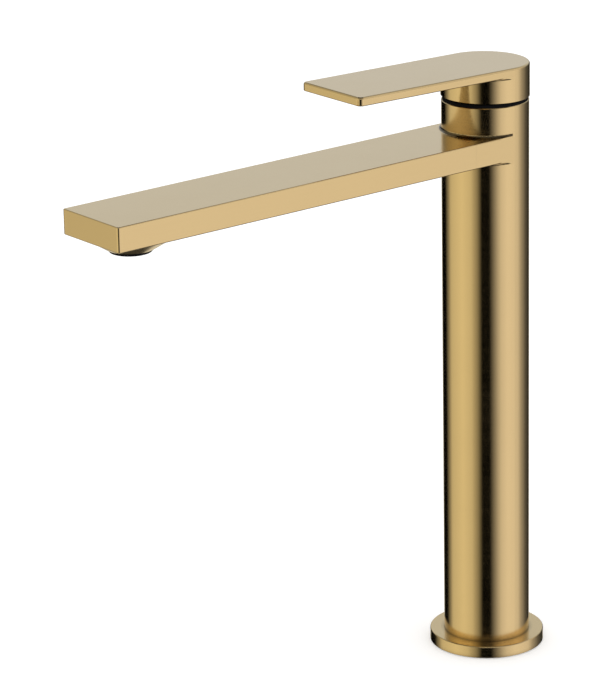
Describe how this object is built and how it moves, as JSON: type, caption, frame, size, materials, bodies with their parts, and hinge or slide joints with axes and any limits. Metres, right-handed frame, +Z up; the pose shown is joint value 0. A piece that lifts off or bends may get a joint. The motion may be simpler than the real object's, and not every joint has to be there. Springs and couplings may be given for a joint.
{
  "type": "basin mixer faucet",
  "caption": "Tall single-lever basin mixer with a round column, long flat spout, flat lever, ceramic disc cartridge, aerator and clamp for under the deck",
  "frame": {"origin": "on the column's axis, in the plane of the basin deck that the base stands on", "axes": "+Z up along the column, the spout and the closed lever point along -Y, +X is the cold side"},
  "size_m": [0.056, 0.2595, 0.3718],
  "materials": {
    "satin_gold": "brushed satin gold, PVD coated brass",
    "plain_brass": "plain machined brass",
    "copper_tube": "drawn copper tube",
    "steel": "plain zinc plated or stainless steel",
    "black_rubber": "matte moulded rubber",
    "white_plastic": "moulded acetal",
    "grey_plastic": "moulded plastic",
    "black_plastic": "moulded plastic, fine matte",
    "disc_ceramic": "lapped alumina"
  },
  "bodies": {
    "faucet_body": {"body_column": "satin_gold", "spout_arm": "satin_gold", "base_flange": "satin_gold", "base_gasket": "black_rubber", "riser_seals": "black_rubber", "insert_seals": "black_rubber", "inlet_seals": "black_rubber", "aerator_washer": "black_rubber", "clamp_gasket": "black_rubber", "port_block": "plain_brass", "waterway_insert": "plain_brass", "retaining_nut": "plain_brass", "clamp_nuts": "plain_brass", "hot_riser": "copper_tube", "cold_riser": "copper_tube", "cartridge_base": "white_plastic", "cartridge_housing": "white_plastic", "fixed_disc": "disc_ceramic", "fixing_studs": "steel", "clamp_plate": "steel", "aerator_screen": "steel", "cover_ring": "black_plastic", "aerator_housing": "black_plastic", "aerator_insert": "grey_plastic"},
    "cartridge_rotor": {"cartridge_rotor": "white_plastic", "pivot_pin": "steel"},
    "lever": {"lever_handle": "satin_gold", "lever_stem": "plain_brass", "stem_sleeve": "white_plastic", "grub_screw": "steel", "screw_cap": "satin_gold"},
    "disc_slider": {"moving_disc": "disc_ceramic", "disc_carrier": "white_plastic"}
  },
  "joints": [
    {"name": "lever_swivel", "type": "hinge", "parent": "faucet_body", "child": "cartridge_rotor", "pos_m": [0, 0, 0.268], "axis": [0, 0, 1], "range_deg": [-50, 50]},
    {"name": "lever_lift", "type": "hinge", "parent": "cartridge_rotor", "child": "lever", "pos_m": [0, 0, 0.268], "axis": [-1, 0, 0], "range_deg": [0, 23]},
    {"name": "disc_slide", "type": "slide", "parent": "cartridge_rotor", "child": "disc_slider", "axis": [0, -1, 0], "range_m": [0, 0.0032]}
  ],
  "couplings": [
    {"joint": "disc_slide", "follows": "lever_lift", "m_per_rad": 0.007787}
  ]
}
